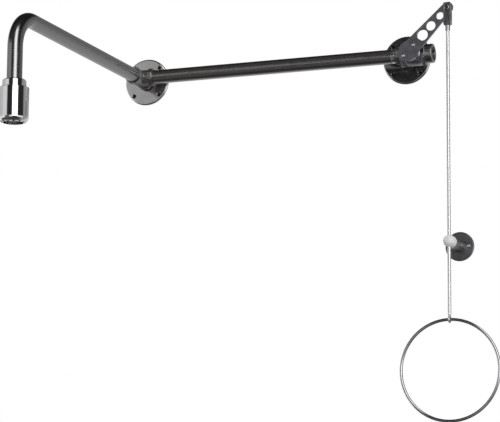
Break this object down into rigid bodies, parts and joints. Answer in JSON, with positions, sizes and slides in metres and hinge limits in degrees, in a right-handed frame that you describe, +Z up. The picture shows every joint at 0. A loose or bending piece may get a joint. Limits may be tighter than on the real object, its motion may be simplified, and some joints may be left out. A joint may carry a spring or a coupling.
{
  "type": "emergency safety shower",
  "caption": "Wall-mounted stainless emergency shower: cross pipe on wall flanges, arm with shower head, ball valve opened by a lever, guided pull rod and hanging ring.",
  "frame": {"origin": "centre of the back face of the wall flange beside the valve", "axes": "+Z up, +X along the cross pipe towards the water inlet, +Y into the wall; the wall is the plane y = 0 and the whole object lies at negative y"},
  "size_m": [0.9705, 0.7305, 0.9687],
  "materials": {
    "brushed_stainless": "satin",
    "dark_stainless": "satin",
    "polished_stainless": "polished",
    "white_plastic": "matte",
    "seal_ptfe": "matte",
    "black_rubber": "matte"
  },
  "bodies": {
    "pipework": {"wall_flange_left": "brushed_stainless", "blind_stub_left": "brushed_stainless", "tee": "brushed_stainless", "shower_arm": "brushed_stainless", "head_collar": "polished_stainless", "head_seal": "black_rubber", "head_body": "polished_stainless", "flow_regulator": "white_plastic", "spray_plate": "brushed_stainless", "spray_plate_ring": "brushed_stainless", "cross_pipe": "dark_stainless", "support_bracket": "brushed_stainless", "stub_right": "brushed_stainless", "wall_flange_right": "dark_stainless", "valve_body": "dark_stainless", "valve_end_cap": "brushed_stainless", "cap_gasket": "seal_ptfe", "seat_outlet": "seal_ptfe", "seat_inlet": "seal_ptfe", "stem_packing": "seal_ptfe", "gland_nut": "brushed_stainless", "stop_pin": "polished_stainless", "guide_plate": "dark_stainless", "guide_arm": "dark_stainless", "ball_seat": "white_plastic", "guide_screws": "polished_stainless"},
    "lever": {"lever_plate": "dark_stainless", "lever_screws": "polished_stainless", "lever_hub": "dark_stainless", "hub_set_screw": "polished_stainless", "valve_stem": "brushed_stainless", "valve_ball": "polished_stainless"},
    "pull_rod": {"clevis_fork": "brushed_stainless", "clevis_pin": "polished_stainless", "pin_clip": "brushed_stainless", "pull_rod": "polished_stainless", "ring_eye": "polished_stainless"},
    "guide_ball": {"guide_ball": "white_plastic"},
    "pull_ring": {"pull_ring": "polished_stainless"}
  },
  "joints": [
    {"name": "lever_turn", "type": "hinge", "parent": "pipework", "child": "lever", "pos_m": [0.031, -0.0915, 0], "axis": [0, 1, 0], "range_deg": [0, 90]},
    {"name": "rod_swing", "type": "hinge", "parent": "lever", "child": "pull_rod", "pos_m": [0.12504, -0.0915, 0.09405], "axis": [0, 1, 0], "range_deg": [-90, 0]},
    {"name": "ball_slide", "type": "slide", "parent": "pull_rod", "child": "guide_ball", "axis": [0, 0, 1], "range_m": [0, 0.1881]},
    {"name": "ring_swing", "type": "hinge", "parent": "pull_rod", "child": "pull_ring", "pos_m": [0.12504, -0.0915, -0.6282], "axis": [1, 0, 0], "range_deg": [-85, 20]}
  ],
  "couplings": [
    {"joint": "rod_swing", "follows": "lever_turn", "ratio": -1},
    {"joint": "ball_slide", "follows": "lever_turn", "m_per_rad": 0.11974}
  ]
}
